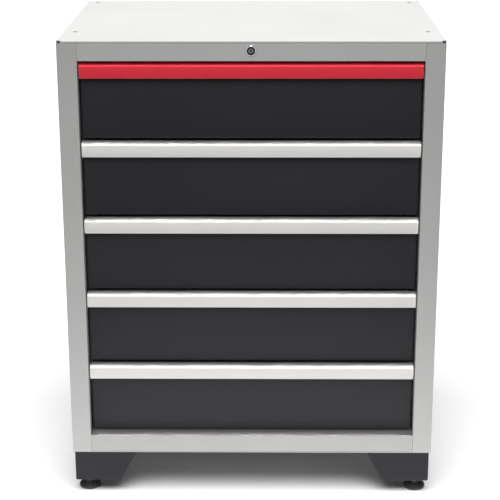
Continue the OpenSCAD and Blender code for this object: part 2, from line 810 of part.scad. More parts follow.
// Drawer front: a folded pan with rounded edges, returned onto the front wall of the box
module pan(k, cut) {
    z = drawer_z(k) + cut;
    zt = drawer_z(k) + front_h - panel_drop - cut;
    r = panel_bend - cut;
    far = box_y + 10;
    x = front_x - cut;
    intersection() {
        along_y(panel_y + cut, box_y - cut) rounded([-x, z], [x, zt], panel_corner - cut);
        along_x(-x - 1, x + 1) rounded([panel_y + cut, z], [far, zt], r);
        along_z(z - 1, zt + 1) rounded([-x, panel_y + cut], [x, far], r);
    }
}
module drawer_front(k) {
    x = front_x - panel_return;
    z = drawer_z(k) + panel_return;
    zt = drawer_z(k) + front_h - panel_drop - panel_return;
    color(dark) difference() {
        pan(k, 0);
        pan(k, panel_sheet);
        block([-x, panel_y + panel_edge / 2, z], [x, box_y + 1, zt]);
    }
}

// Full-width pull: rounded front lip, bevel, sloped top, and a flange on the drawer panel
module drawer_pull(k, paint) {
    z = drawer_z(k) + front_h - pull_h;
    slope = (pull_h - lip_h - bevel_h) / (panel_set - pull_set - bevel_d);
    peak = pull_h + slope * pull_bend;
    r = pull_wall / 2;
    path = [[pull_set, r], [pull_set, lip_h], [pull_set + bevel_d, lip_h + bevel_h],
            [panel_set, peak], [panel_set, pull_h - pull_flange]];
    lip_end = [for (i = [1 : 5]) [pull_set + r + r * cos(30 * i), r - r * sin(30 * i)]];
    bends = [lip_bend, lip_bend, pull_bend];
    color(paint) translate([0, face_y, z]) along_x(-front_x, front_x)
        polygon(concat(sheet_side(path, pull_wall, bends, false),
                       reversed(sheet_side(path, pull_wall, bends, true)), lip_end));
}

module drawer_1_box() { drawer_box(1); }
module drawer_2_box() { drawer_box(2); }
module drawer_3_box() { drawer_box(3); }
module drawer_4_box() { drawer_box(4); }
module drawer_5_box() { drawer_box(5); }
module drawer_1_front() { drawer_front(1); }
module drawer_2_front() { drawer_front(2); }
module drawer_3_front() { drawer_front(3); }
module drawer_4_front() { drawer_front(4); }
module drawer_5_front() { drawer_front(5); }
module drawer_1_pull() { drawer_pull(1, red); }
module drawer_2_pull() { drawer_pull(2, silver); }
module drawer_3_pull() { drawer_pull(3, silver); }
module drawer_4_pull() { drawer_pull(4, silver); }
module drawer_5_pull() { drawer_pull(5, silver); }
module drawer_1_middle_runners() { middle_runners(1); }
module drawer_2_middle_runners() { middle_runners(2); }
module drawer_3_middle_runners() { middle_runners(3); }
module drawer_4_middle_runners() { middle_runners(4); }
module drawer_5_middle_runners() { middle_runners(5); }
module drawer_1_inner_runners() { inner_runners(1); }
module drawer_2_inner_runners() { inner_runners(2); }
module drawer_3_inner_runners() { inner_runners(3); }
module drawer_4_inner_runners() { inner_runners(4); }
module drawer_5_inner_runners() { inner_runners(5); }

left_side_panel();
right_side_panel();
back_panel();
top_panel();
bottom_panel();
top_rail();
bottom_rail();
left_front_upright();
left_rear_upright();
right_front_upright();
right_rear_upright();
front_left_leg();
front_right_leg();
rear_left_leg();
rear_right_leg();
leg_bolts();
foot_nuts();
left_cabinet_runners();
right_cabinet_runners();
back_rivets();
lock_barrel();
lock_nut();
lock_plug();
lock_rod();
lock_rod_bracket();
lock_bar();
lock_bar_guides();
front_left_pad();
front_right_pad();
rear_left_pad();
rear_right_pad();
front_left_stem();
front_right_stem();
rear_left_stem();
rear_right_stem();
drawer_1_box();
drawer_2_box();
drawer_3_box();
drawer_4_box();
drawer_5_box();
drawer_1_front();
drawer_2_front();
drawer_3_front();
drawer_4_front();
drawer_5_front();
drawer_1_pull();
drawer_2_pull();
drawer_3_pull();
drawer_4_pull();
drawer_5_pull();
drawer_1_middle_runners();
drawer_2_middle_runners();
drawer_3_middle_runners();
drawer_4_middle_runners();
drawer_5_middle_runners();
drawer_1_inner_runners();
drawer_2_inner_runners();
drawer_3_inner_runners();
drawer_4_inner_runners();
drawer_5_inner_runners();
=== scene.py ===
import bmesh
import bpy
import numpy as np
from mathutils import Matrix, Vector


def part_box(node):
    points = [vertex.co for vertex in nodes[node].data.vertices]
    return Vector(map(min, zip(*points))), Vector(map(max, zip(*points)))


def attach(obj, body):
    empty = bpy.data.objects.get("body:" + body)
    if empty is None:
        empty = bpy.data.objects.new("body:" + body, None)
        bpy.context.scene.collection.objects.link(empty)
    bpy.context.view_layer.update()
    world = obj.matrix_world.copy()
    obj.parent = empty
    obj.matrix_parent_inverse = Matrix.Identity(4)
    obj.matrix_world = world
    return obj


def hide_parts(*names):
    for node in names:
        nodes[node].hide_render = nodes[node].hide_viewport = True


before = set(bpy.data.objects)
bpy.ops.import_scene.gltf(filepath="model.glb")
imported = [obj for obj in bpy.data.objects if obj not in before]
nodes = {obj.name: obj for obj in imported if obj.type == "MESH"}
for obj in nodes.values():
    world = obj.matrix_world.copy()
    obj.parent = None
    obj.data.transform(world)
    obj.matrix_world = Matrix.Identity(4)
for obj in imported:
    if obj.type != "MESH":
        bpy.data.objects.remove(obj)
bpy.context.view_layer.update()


# Frame sheets: side panels with their stiles, top, base, back and the two rails. Cold rolled steel,
# folded, spot welded and riveted, with a satin light grey powder coat that is flatter on the top,
# where hands and tools rub it. The rails' greys are a shade lighter than the sides', as painted light,
# the top's a shade darker, as painted shade, and the base's darker still, as painted shade that
# deepens the shadow under the cabinet.
MM = 0.001
OUTER_SHEETS = ("left_side_panel", "right_side_panel", "back_panel")
FRAME_GREY, FRAME_EDGE, FRAME_ROUGH, FRAME_DUST = (0.60, 0.60, 0.592), (0.70, 0.70, 0.69), 0.46, 0.05
# The rails are painted lighter as painted light; the base is painted darker as painted shade under the
# cabinet.
SHEET_GREYS_WITH_PAINTED_LIGHT = {
    **dict.fromkeys(OUTER_SHEETS, FRAME_GREY), "top_rail": (0.65, 0.645, 0.638),
    "bottom_rail": (0.645, 0.64, 0.633), "bottom_panel": (0.46, 0.46, 0.455)}
# The top's grey and edge are darker than the frame's: painted shade that holds the lit top and its lip down.
TOP_SHADED_GREY, TOP_SHADED_EDGE, TOP_ROUGH, TOP_SHEEN = (0.555, 0.555, 0.547), (0.53, 0.53, 0.523), 0.6, 0.2
PEEL_CELLS, PEEL_DETAIL, PEEL_DEPTH = 420.0, 1.5, 0.06 * MM
DRIFT_CELLS, TONE_DRIFT, GLOSS_DRIFT = 5.0, 0.05, 0.06
SPECK_CELLS, SPECK_TONE = 1500.0, 0.06
EDGE_WIDTH, EDGE_SHOW, EDGE_CELLS, EDGE_LEAST, EDGE_SPREAD = 2.2 * MM, 0.55, 90.0, 0.3, 1.4
DUST_COLOR, DUST_CELLS, DUST_DULLS = (0.58, 0.56, 0.52, 1.0), 14.0, 0.5
DUST_PATCHES, DUST_SLOPES = (0.35, 0.7), (0.6, 0.95)
SURFACE = {"Color": "Color", "Roughness": "Float", "Height": "Float"}
MIX_FACTOR, MIX_UNDER, MIX_OVER, MIX_RESULT = 0, 6, 7, 2


def feed(tree, socket, value):
    """Links a socket that is given as the value, or sets a plain value."""
    if isinstance(value, bpy.types.NodeSocket):
        tree.links.new(value, socket)
    else:
        socket.default_value = value


def wire(tree, kind, sockets=None, **settings):
    """Adds a node; settings go to its properties and sockets to its inputs, by name or number."""
    node = tree.nodes.new(kind)
    for key, value in settings.items():
        setattr(node, key, value)
    for key, value in (sockets or {}).items():
        feed(tree, node.inputs[key], value)
    return node


def calc(tree, operation, a, b=0.0, c=0.0):
    """One Math node, not clamped; gives its result."""
    return wire(tree, "ShaderNodeMath", {0: a, 1: b, 2: c}, operation=operation).outputs[0]


def vector_calc(tree, operation, a, b):
    """One Vector Math node; gives its vector."""
    return wire(tree, "ShaderNodeVectorMath", {0: a, 1: b}, operation=operation).outputs[0]


def tint(tree, factor, under, over, blend="MIX"):
    """Mixes one colour over another by factor; gives the colour."""
    sockets = {MIX_FACTOR: factor, MIX_UNDER: under, MIX_OVER: over}
    return wire(tree, "ShaderNodeMix", sockets, data_type="RGBA", blend_type=blend).outputs[MIX_RESULT]


def shaded(tree, color, tone):
    """A colour multiplied by a value."""
    grey = wire(tree, "ShaderNodeCombineColor", {0: tone, 1: tone, 2: tone}).outputs[0]
    return tint(tree, 1.0, color, grey, "MULTIPLY")


def ramp(tree, value, low, high, to_low=0.0, to_high=1.0):
    """Smooth step of a value from low..high to to_low..to_high."""
    limits = {0: value, 1: low, 2: high, 3: to_low, 4: to_high}
    return wire(tree, "ShaderNodeMapRange", limits, interpolation_type="SMOOTHSTEP").outputs[0]


def on_object(tree):
    """The object's own coordinates."""
    return wire(tree, "ShaderNodeTexCoord").outputs["Object"]


def noise(tree, where, cells, detail=2.0, stretch=(1, 1, 1)):
    """Noise between 0 and 1 on stretched coordinates, with so many cells to the metre."""
    placed = wire(tree, "ShaderNodeMapping", {"Vector": where, "Scale": stretch}).outputs[0]
    return wire(tree, "ShaderNodeTexNoise", {"Vector": placed, "Scale": cells, "Detail": detail}).outputs[0]


def shade_group(name, inputs, outputs):
    """A shader node group with named sockets; gives its tree, what comes in and what goes out."""
    tree = bpy.data.node_groups.new(name, "ShaderNodeTree")
    for way, sockets in (("INPUT", inputs), ("OUTPUT", outputs)):
        for label, kind in sockets.items():
            tree.interface.new_socket(label, in_out=way, socket_type="NodeSocket" + kind)
    return tree, tree.nodes.new("NodeGroupInput").outputs, tree.nodes.new("NodeGroupOutput").inputs


def grouped(tree, group, **sockets):
    """A group node with its named inputs set or linked; gives its outputs."""
    return wire(tree, "ShaderNodeGroup", sockets, node_tree=group).outputs


def powder_coat_group():
    """Powder coat: orange peel from fine noise, and a slow drift of tone and gloss over the sheet."""
    inputs = {"Color": "Color", "Roughness": "Float", "Peel": "Float", "Drift": "Float"}
    tree, given, put = shade_group("powder_coat", inputs, SURFACE)
    where = on_object(tree)
    slow = noise(tree, where, DRIFT_CELLS, detail=3.0)
    fine = noise(tree, where, SPECK_CELLS, detail=1.0)
    shift = calc(tree, "MULTIPLY_ADD", slow, 2.0, -1.0)
    tone = calc(tree, "MULTIPLY_ADD", shift, given["Drift"], 1.0)
    speck = calc(tree, "MULTIPLY_ADD", fine, SPECK_TONE, 1.0 - SPECK_TONE / 2)
    peel = wire(tree, "ShaderNodeTexNoise", {"Vector": where, "Scale": given["Peel"], "Detail": PEEL_DETAIL})
    feed(tree, put["Color"], shaded(tree, given["Color"], calc(tree, "MULTIPLY", tone, speck)))
    feed(tree, put["Roughness"], calc(tree, "MULTIPLY_ADD", shift, GLOSS_DRIFT, given["Roughness"]))
    feed(tree, put["Height"], peel.outputs[0])
    return tree


def thin_edge_group():
    """Thin coat on edges: a band where a point lies near two faces of its box at once.

    The distance to an edge is the middle one of the distances to the nearest X, Y and Z faces.
    """
    inputs = {"Low": "Vector", "High": "Vector", "Width": "Float"}
    tree, given, put = shade_group("thin_edge", inputs, {"Mask": "Float"})
    where = on_object(tree)
    rise = vector_calc(tree, "SUBTRACT", where, given["Low"])
    fall = vector_calc(tree, "SUBTRACT", given["High"], where)
    near = vector_calc(tree, "MINIMUM", rise, fall)
    x, y, z = wire(tree, "ShaderNodeSeparateXYZ", {0: near}).outputs
    small = calc(tree, "MINIMUM", x, y)
    large = calc(tree, "MAXIMUM", x, y)
    middle = calc(tree, "MAXIMUM", small, calc(tree, "MINIMUM", large, z))
    broken = calc(tree, "MULTIPLY_ADD", noise(tree, where, EDGE_CELLS, detail=3.0), EDGE_SPREAD, EDGE_LEAST)
    reach = calc(tree, "MULTIPLY", given["Width"], broken)
    band = wire(tree, "ShaderNodeMapRange", {0: middle, 1: 0.0, 2: reach, 3: 1.0, 4: 0.0})
    feed(tree, put["Mask"], band.outputs[0])
    return tree


def dust_group():
    """Settled dust: faces that look up carry a thin uneven film."""
    tree, given, put = shade_group("settled_dust", {"Amount": "Float"}, {"Mask": "Float"})
    normal = wire(tree, "ShaderNodeNewGeometry").outputs["Normal"]
    up = wire(tree, "ShaderNodeSeparateXYZ", {0: normal}).outputs[2]
    film = ramp(tree, noise(tree, on_object(tree), DUST_CELLS, detail=5.0), *DUST_PATCHES)
    settled = calc(tree, "MULTIPLY", ramp(tree, up, *DUST_SLOPES), film)
    feed(tree, put["Mask"], calc(tree, "MULTIPLY", settled, given["Amount"]))
    return tree


COAT, EDGE, DUST = powder_coat_group(), thin_edge_group(), dust_group()


def finish_material(name):
    """A new material; gives it, its tree and its Principled shader."""
    made = bpy.data.materials.new(name)
    made.use_nodes = True
    return made, made.node_tree, made.node_tree.nodes["Principled BSDF"]


def bump(tree, shader, height, depth):
    """Sends a height map to the shader's normal; depth is in metres."""
    relief = wire(tree, "ShaderNodeBump", {"Height": height, "Distance": depth, "Strength": 1.0})
    feed(tree, shader.inputs["Normal"], relief.outputs[0])


def coated_steel(name, corners, color, rough, edge_color, dust, sheen=0.5):
    """Powder coated sheet: coat, thin edges inside the given corners, and dust.

    Sheen is its specular level.
    """
    made, tree, shader = finish_material(name)
    coat = grouped(tree, COAT, Color=(*color, 1.0), Roughness=rough, Peel=PEEL_CELLS, Drift=TONE_DRIFT)
    edge = grouped(tree, EDGE, Low=tuple(corners[0]), High=tuple(corners[1]), Width=EDGE_WIDTH)["Mask"]
    film = grouped(tree, DUST, Amount=dust)["Mask"]
    worn = tint(tree, calc(tree, "MULTIPLY", edge, EDGE_SHOW), coat["Color"], (*edge_color, 1.0))
    feed(tree, shader.inputs["Base Color"], tint(tree, film, worn, DUST_COLOR))
    feed(tree, shader.inputs["Roughness"], calc(tree, "MULTIPLY_ADD", film, DUST_DULLS, coat["Roughness"]))
    feed(tree, shader.inputs["Specular IOR Level"], sheen)
    bump(tree, shader, coat["Height"], PEEL_DEPTH)
    return made


def dress(name, material):
    """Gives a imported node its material."""
    holder = nodes[name]
    if holder.material_slots:
        holder.material_slots[0].material = material
    else:
        holder.data.materials.append(material)


# The rails get lighter greys as painted light, and the base a darker one as painted shade.
for name, grey in SHEET_GREYS_WITH_PAINTED_LIGHT.items():
    dress(name, coated_steel("frame_coat_" + name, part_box(name), grey, FRAME_ROUGH, FRAME_EDGE, FRAME_DUST))
# The top panel gets the darker greys, as painted shade.
top_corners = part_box("top_panel")
top_coat_painted_shade = coated_steel("top_coat_painted_shade", top_corners, TOP_SHADED_GREY, TOP_ROUGH, TOP_SHADED_EDGE, FRAME_DUST, TOP_SHEEN)
dress("top_panel", top_coat_painted_shade)


# Rivets, uprights, runners and lock works: zinc plated steel.
# The rivets hold the back sheet to the rear flanges, the hat section uprights are welded to
# the side panels, and the cabinet members of the runners are fixed to the uprights.
PLATE_COLOR, PLATE_ROUGH, PLATE_MOTTLE, PLATE_METAL = (0.63, 0.64, 0.66), 0.3, 140.0, 0.92
MOTTLE_TONE, MOTTLE_GLOSS, MOTTLE_BEND, MOTTLE_BEND_CELLS = 0.16, 0.14, 10 * MM, 60.0
RUBBED_CELLS, RUBBED_STRETCH, RUBBED_TONE, RUBBED_DEPTH = 260.0, (1.0, 0.05, 1.0), 0.12, 0.02 * MM
PLATE_DARKEST = 0.84
PLATED_PIECES = (
    "left_front_upright", "left_rear_upright", "right_front_upright", "right_rear_upright",
    "left_cabinet_runners", "right_cabinet_runners", "back_rivets", "lock_nut", "lock_rod",
    "lock_rod_bracket", "lock_bar", "lock_bar_guides")


def zinc_group():
    """Zinc plate: a soft mottle of crystals, with fine rubbed lines along the piece."""
    inputs = {"Color": "Color", "Roughness": "Float", "Mottle": "Float"}
    tree, given, put = shade_group("zinc_plate", inputs, SURFACE)
    where = on_object(tree)
    swirl = wire(tree, "ShaderNodeTexNoise", {"Vector": where, "Scale": MOTTLE_BEND_CELLS}).outputs["Color"]
    bend = wire(tree, "ShaderNodeVectorMath", {0: swirl, "Scale": MOTTLE_BEND}, operation="SCALE").outputs[0]
    crystals = {"Vector": vector_calc(tree, "ADD", where, bend), "Scale": given["Mottle"]}
    cells = wire(tree, "ShaderNodeTexVoronoi", crystals, feature="SMOOTH_F1")
    patch = wire(tree, "ShaderNodeSeparateColor", {0: cells.outputs["Color"]}).outputs[0]
    lines = noise(tree, where, RUBBED_CELLS, detail=3.0, stretch=RUBBED_STRETCH)
    rubbed = calc(tree, "MULTIPLY_ADD", lines, RUBBED_TONE, PLATE_DARKEST)
    tone = calc(tree, "MULTIPLY_ADD", patch, MOTTLE_TONE, rubbed)
    feed(tree, put["Color"], shaded(tree, given["Color"], tone))
    feed(tree, put["Roughness"], calc(tree, "MULTIPLY_ADD", patch, MOTTLE_GLOSS, given["Roughness"]))
    feed(tree, put["Height"], lines)
    return tree


ZINC = zinc_group()


def zinc_steel(name, color, rough, mottle):
    """Plated steel with its mottle in colour and gloss."""
    made, tree, shader = finish_material(name)
    plate = grouped(tree, ZINC, Color=(*color, 1.0), Roughness=rough, Mottle=mottle)
    feed(tree, shader.inputs["Base Color"], plate["Color"])
    feed(tree, shader.inputs["Roughness"], plate["Roughness"])
    feed(tree, shader.inputs["Metallic"], PLATE_METAL)
    bump(tree, shader, plate["Height"], RUBBED_DEPTH)
    return made


plated = zinc_steel("zinc_plate", PLATE_COLOR, PLATE_ROUGH, PLATE_MOTTLE)
for name in PLATED_PIECES:
    dress(name, plated)


# Corner legs: steel plate bent to an angle, with the slanted inner edges cut first.
# A flange on top is bolted through the base sheet, and a welded plate holds the foot nut.
# They are coated dark grey like the drawers.
LEGS = ("front_left_leg", "front_right_leg", "rear_left_leg", "rear_right_leg")
LEG_GREY, LEG_EDGE, LEG_ROUGH = (0.0432, 0.0426, 0.048), (0.09, 0.09, 0.094), 0.5
LEG_DUST, LEG_SHEEN = 0.04, 0.1
for name in LEGS:
    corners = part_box(name)
    coat = coated_steel("leg_coat_" + name, corners, LEG_GREY, LEG_ROUGH, LEG_EDGE, LEG_DUST, LEG_SHEEN)
    dress(name, coat)


# Leg bolts: two hexagon bolts with nuts hold each leg to the base sheet.
# Zinc plated steel, forged heads with a turned chamfer.
BOLT, BOLT_FLATS, BOLT_NUT_H, BOLT_TIP = 8 * MM, 12.8 * MM, 6 * MM, 0.8 * MM
BOLT_FAR, BOLT_NEAR, BOLT_IN, LEG_PLATE = 85 * MM, 22 * MM, 30 * MM, 2 * MM
BOLT_COLOR, BOLT_ROUGH, BOLT_MOTTLE = (0.66, 0.66, 0.66), 0.26, 420.0
FASTENER_ANGLES = np.linspace(0.0, 2 * np.pi, 48, endpoint=False)
CHAMFER, FACE_SHARE = np.tan(np.radians(30)), 0.475
CORNER_SIDES = np.array([[1, 1], [-1, 1], [1, -1], [-1, -1]])


def hexagon(flats):
    """Radius of a hexagon by angle: half the flats over the cosine of the angle to the nearest flat."""
    turned = (FASTENER_ANGLES + np.pi / 6) % (np.pi / 3) - np.pi / 6
    return 0.5 * flats / np.cos(turned)


def turned_edge(flats):
    """How far the 30 degree cone cuts a hexagon down, by angle: it starts at the round face."""
    return CHAMFER * (hexagon(flats) - FACE_SHARE * flats)


def turned_rings(profile):
    """Rings round the Z axis from pairs of radius and height, each a number or an array by angle."""
    radius = np.array([np.broadcast_to(r, FASTENER_ANGLES.shape) for r, _ in profile])
    height = np.array([np.broadcast_to(z, FASTENER_ANGLES.shape) for _, z in profile])
    return np.stack([radius * np.cos(FASTENER_ANGLES), radius * np.sin(FASTENER_ANGLES), height], -1)


def skin(name, stacks, wrap=False, smooth=32):
    """A mesh from stacks of closed rings, shape (stacks, rings, points, 3).

    Quads join each ring to the next; wrap joins the last ring to the first, else flat ends close the
    stack. Faces that meet at less than smooth degrees are shaded as one.
    """
    stacks = np.asarray(stacks, float)
    count, rings, points, _ = stacks.shape
    row, col = np.meshgrid(np.arange(rings if wrap else rings - 1), np.arange(points), indexing="ij")
    after, beside = (row + 1) % rings, (col + 1) % points
    corners = [row * points + col, row * points + beside, after * points + beside, after * points + col]
    quads = np.stack(corners, -1).reshape(-1, 4)
    offsets = np.arange(count) * rings * points
    faces = (quads[None] + offsets[:, None, None]).reshape(-1, 4).tolist()
    if not wrap:
        ends = np.stack([np.arange(points)[::-1], np.arange(points) + (rings - 1) * points])
        faces += (ends[None] + offsets[:, None, None]).reshape(-1, points).tolist()
    mesh = bpy.data.meshes.new(name)
    mesh.from_pydata(stacks.reshape(-1, 3).tolist(), [], faces)
    shell = bmesh.new()
    shell.from_mesh(mesh)
    bmesh.ops.recalc_face_normals(shell, faces=shell.faces)
    shell.to_mesh(mesh)
    shell.free()
    mesh.polygons.foreach_set("use_smooth", np.ones(len(mesh.polygons), bool))
    mesh.set_sharp_from_angle(angle=np.radians(smooth))
    made = bpy.data.objects.new(name, mesh)
    bpy.context.scene.collection.objects.link(made)
    return made


def fit(piece, material, slot, body, *replaced):
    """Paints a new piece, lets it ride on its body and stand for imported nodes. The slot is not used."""
    piece.data.materials.append(material)
    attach(piece, body)
    if replaced:
        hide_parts(*replaced)


bolt_low, bolt_high = (corner.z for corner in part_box("leg_bolts"))
base_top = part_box("bottom_panel")[1].z
head_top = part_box("front_left_leg")[1].z - LEG_PLATE
nut_top = base_top + BOLT_NUT_H
side, cut = hexagon(BOLT_FLATS), turned_edge(BOLT_FLATS)
face, shank = FACE_SHARE * BOLT_FLATS, 0.5 * BOLT
bolt_profile = [
    (face, bolt_low), (side, bolt_low + cut), (side, head_top), (shank, head_top), (shank, base_top),
    (face, base_top), (side, base_top + cut), (side, nut_top - cut), (face, nut_top), (shank, nut_top),
    (shank, bolt_high - BOLT_TIP), (shank - BOLT_TIP, bolt_high)]
leg_corner = np.array(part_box("front_left_leg")[0])[:2]
quarter = np.array([leg_corner + (BOLT_FAR, BOLT_IN), leg_corner + (BOLT_NEAR, BOLT_FAR)])
bolt_places = (quarter[None] * CORNER_SIDES[:, None]).reshape(-1, 2)
bolt_stack = turned_rings(bolt_profile)[None] + np.pad(bolt_places, ((0, 0), (0, 1)))[:, None, None]
fastener = zinc_steel("zinc_fastener", BOLT_COLOR, BOLT_ROUGH, BOLT_MOTTLE)
fit(skin("leg_hex_bolts", bolt_stack), fastener, "zinc_steel", "cabinet", "leg_bolts")


# Foot nuts: a weld nut on each foot plate and a lock nut under it.
# Zinc plated steel, both faces chamfered.
FOOT_NUT, LOCK_NUT_H, WELD_NUT_H = 17 * MM, 5 * MM, 8 * MM
NUT_BORE, BORE_FLARE, BORE_FLARE_DEEP = 5.07 * MM, 0.5 * MM, 0.4 * MM
FEET = ("front_left", "front_right", "rear_left", "rear_right")


def nut_rings(low, high):
    """A hexagon nut: a closed loop of rings out along the lower face, up the flats and in above."""
    side, cut, face = hexagon(FOOT_NUT), turned_edge(FOOT_NUT), FACE_SHARE * FOOT_NUT
    return turned_rings([
        (NUT_BORE, low + BORE_FLARE_DEEP), (NUT_BORE + BORE_FLARE, low), (face, low), (side, low + cut),
        (side, high - cut), (face, high), (NUT_BORE + BORE_FLARE, high), (NUT_BORE, high - BORE_FLARE_DEEP)])


nut_low, nut_high = (corner.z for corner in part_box("foot_nuts"))
pad_corners = np.array([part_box(foot + "_pad") for foot in FEET])
foot_places = pad_corners.mean(axis=1) * np.array([1, 1, 0])
nut_pair = np.array([nut_rings(nut_low, nut_low + LOCK_NUT_H), nut_rings(nut_high - WELD_NUT_H, nut_high)])
nut_stack = (nut_pair[None] + foot_places[:, None, None, None]).reshape(-1, *nut_pair.shape[1:])
fit(skin("foot_hex_nuts", nut_stack, wrap=True), fastener, "zinc_steel", "cabinet", "foot_nuts")


# Foot screws: M10 stems with a rolled thread and a hexagon collar for the wrench.
# They turn in the foot nuts, stand in the pads and carry the whole cabinet.
STEM, STEM_END, STEM_END_DEEP = 9.96 * MM, 0.42, 0.8 * MM
COLLAR, COLLAR_H, COLLAR_GAP = 14 * MM, 5 * MM, 0.3 * MM
THREAD_PITCH, THREAD_DEPTH, THREAD_STEPS, THREAD_FLAT = 1.5 * MM, 0.85 * MM, 8, 0.125
THREAD_START, THREAD_STOP, THREAD_TIP = 0.5 * MM, 1.2 * MM, 0.38


def thread_rings(low, high):
    """A screw thread: the radius falls by a V with the height less the angle's share of the pitch.

    The V is clipped, so that crest and root are a little flat.
    """
    height = np.arange(low, high, THREAD_PITCH / THREAD_STEPS)
    turns = height[:, None] / THREAD_PITCH - FASTENER_ANGLES / (2 * np.pi)
    groove = np.clip((1 + 2 * THREAD_FLAT) * np.abs(2 * (turns % 1.0) - 1.0) - THREAD_FLAT, 0, 1)
    return list(zip(0.5 * STEM - THREAD_DEPTH * groove, height))


for foot, middle in zip(FEET, foot_places):
    stem_low, stem_high = (corner.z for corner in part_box(foot + "_stem"))
    collar_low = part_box(foot + "_pad")[1].z + COLLAR_GAP
    collar_high = collar_low + COLLAR_H
    side, cut, face = hexagon(COLLAR), turned_edge(COLLAR), FACE_SHARE * COLLAR
    stem_profile = [
        (STEM_END * STEM, stem_low), (0.5 * STEM, stem_low + STEM_END_DEEP), (0.5 * STEM, collar_low),
        (face, collar_low), (side, collar_low + cut), (side, collar_high - cut), (face, collar_high),
        (0.5 * STEM - THREAD_DEPTH, collar_high),
        *thread_rings(collar_high + THREAD_START, stem_high - THREAD_STOP), (THREAD_TIP * STEM, stem_high)]
    stem = skin(foot + "_foot_screw", turned_rings(stem_profile)[None] + middle)
    fit(stem, fastener, "zinc_steel", foot + "_screw", foot + "_stem")


# Foot pads: dark glass filled nylon, moulded round with a stepped rim and a neck for the stem.
# The grain of the mould shows a little in the tone, and the rim is scuffed from standing on floors.
NYLON, NYLON_ROUGH, FLOOR_LEVEL = (0.028, 0.028, 0.029), 0.42, 0.0
GRAIN_CELLS, GRAIN_PALE, GRAIN_TONE, GRAIN_GLOSS, GRAIN_DEPTH = 1800.0, 4, 0.12, 0.2, 0.05 * MM
SCUFF_COLOR, SCUFF_CELLS, SCUFF_SHOW = (0.11, 0.108, 0.105, 1.0), 260.0, 0.5
SCUFF_REACH, SCUFF_PATCHES = 5 * MM, (0.5, 0.75)


def moulded_plastic(name, color, rough, floor, sheen=0.5):
    """Fine spark eroded texture in gloss and relief, with scuffs near the floor.

    Sheen is its specular level.
    """
    made, tree, shader = finish_material(name)
    where = on_object(tree)
    height = wire(tree, "ShaderNodeSeparateXYZ", {0: where}).outputs[2]
    grain = noise(tree, where, GRAIN_CELLS)
    low = ramp(tree, height, floor, floor + SCUFF_REACH, 1.0, 0.0)
    patches = ramp(tree, noise(tree, where, SCUFF_CELLS, detail=4.0), *SCUFF_PATCHES)
    scuff = calc(tree, "MULTIPLY", calc(tree, "MULTIPLY", low, patches), SCUFF_SHOW)
    shade = tint(tree, scuff, (*color, 1.0), SCUFF_COLOR)
    pale = (*(GRAIN_PALE * part for part in color), 1.0)
    speckled = tint(tree, calc(tree, "MULTIPLY", grain, GRAIN_TONE), shade, pale)
    feed(tree, shader.inputs["Base Color"], speckled)
    feed(tree, shader.inputs["Roughness"], calc(tree, "MULTIPLY_ADD", grain, GRAIN_GLOSS, rough))
    feed(tree, shader.inputs["Specular IOR Level"], sheen)
    bump(tree, shader, grain, GRAIN_DEPTH)
    return made


nylon = moulded_plastic("foot_nylon", NYLON, NYLON_ROUGH, FLOOR_LEVEL)
for foot in FEET:
    dress(foot + "_pad", nylon)


# Lock: a chromed zinc barrel through the top rail, with a dust ring round the plug that is painted near
# black with no sheen, so that it also stands as painted shade in the recess between bezel and plug.
# The plug is turned steel with a chamfer and a key slot; it turns the rod that lifts the
# lock bar behind the drawers.
CHROME, CHROME_ROUGH, CHROME_MARKS, CHROME_SHADE_FROM = (0.52, 0.52, 0.53), 0.16, 0.1, 10 * MM
PLUG_COLOR, PLUG_ROUGH, PLUG_MARKS, PLUG_SHADE_FROM = (0.16, 0.16, 0.165), 0.34, 0.3, 0.3 * MM
RUBBER_AND_SHADE_BLACK, RUBBER_ROUGH, NO_FLOOR = (0.002, 0.002, 0.002), 0.6, -1.0
MARK_CELLS, MARK_GLOSS, MARK_DEPTH = 3000.0, 0.12, 0.002 * MM
# Painted shade: behind a given depth the metal's tone falls to this share, to darken the key slot and the
# barrel inside.
SHADE_FADE, SHADE_TONE = 1.2 * MM, 0.04
RING_IN, RING_OUT, RING_RISE, RING_AHEAD, RING_EDGE = 4.95 * MM, 7.6 * MM, 0.5 * MM, 0.3 * MM, 0.2 * MM
PLUG_CHAMFER, SLOT_HALF_W, SLOT_HALF_H = 0.5 * MM, 1.0 * MM, 2.8 * MM
SLOT_DEEP, SLOT_CHAMFER = 7.0 * MM, 0.25 * MM
LOCK_ANGLES = np.linspace(0.0, 2 * np.pi, 96, endpoint=False)


def polished_metal(name, color, rough, swirl, shade_from):
    """Metal with turning marks: noise on the distance from the lock's axis.

    Painted shade darkens it behind the depth that it starts from, for the dark inside of the barrel and key
    slot.
    """
    made, tree, shader = finish_material(name)
    where = on_object(tree)
    moved = vector_calc(tree, "SUBTRACT", where, lock_middle)
    flat = vector_calc(tree, "MULTIPLY", moved, (1.0, 0.0, 1.0))
    reach = wire(tree, "ShaderNodeVectorMath", {0: flat}, operation="LENGTH").outputs["Value"]
    rings = {"W": calc(tree, "MULTIPLY", reach, MARK_CELLS), "Scale": 1.0}
    marks = wire(tree, "ShaderNodeTexNoise", rings, noise_dimensions="1D").outputs[0]
    depth = wire(tree, "ShaderNodeSeparateXYZ", {0: where}).outputs[1]
    unshaded = ramp(tree, depth, shade_from, shade_from + SHADE_FADE, 1.0, SHADE_TONE)
    turned = calc(tree, "MULTIPLY_ADD", marks, swirl, 1.0 - 0.5 * swirl)
    tone = calc(tree, "MULTIPLY", turned, unshaded)
    feed(tree, shader.inputs["Base Color"], shaded(tree, (*color, 1.0), tone))
    feed(tree, shader.inputs["Roughness"], calc(tree, "MULTIPLY_ADD", marks, MARK_GLOSS, rough))
    feed(tree, shader.inputs["Metallic"], 1.0)
    bump(tree, shader, marks, MARK_DEPTH)
    return made


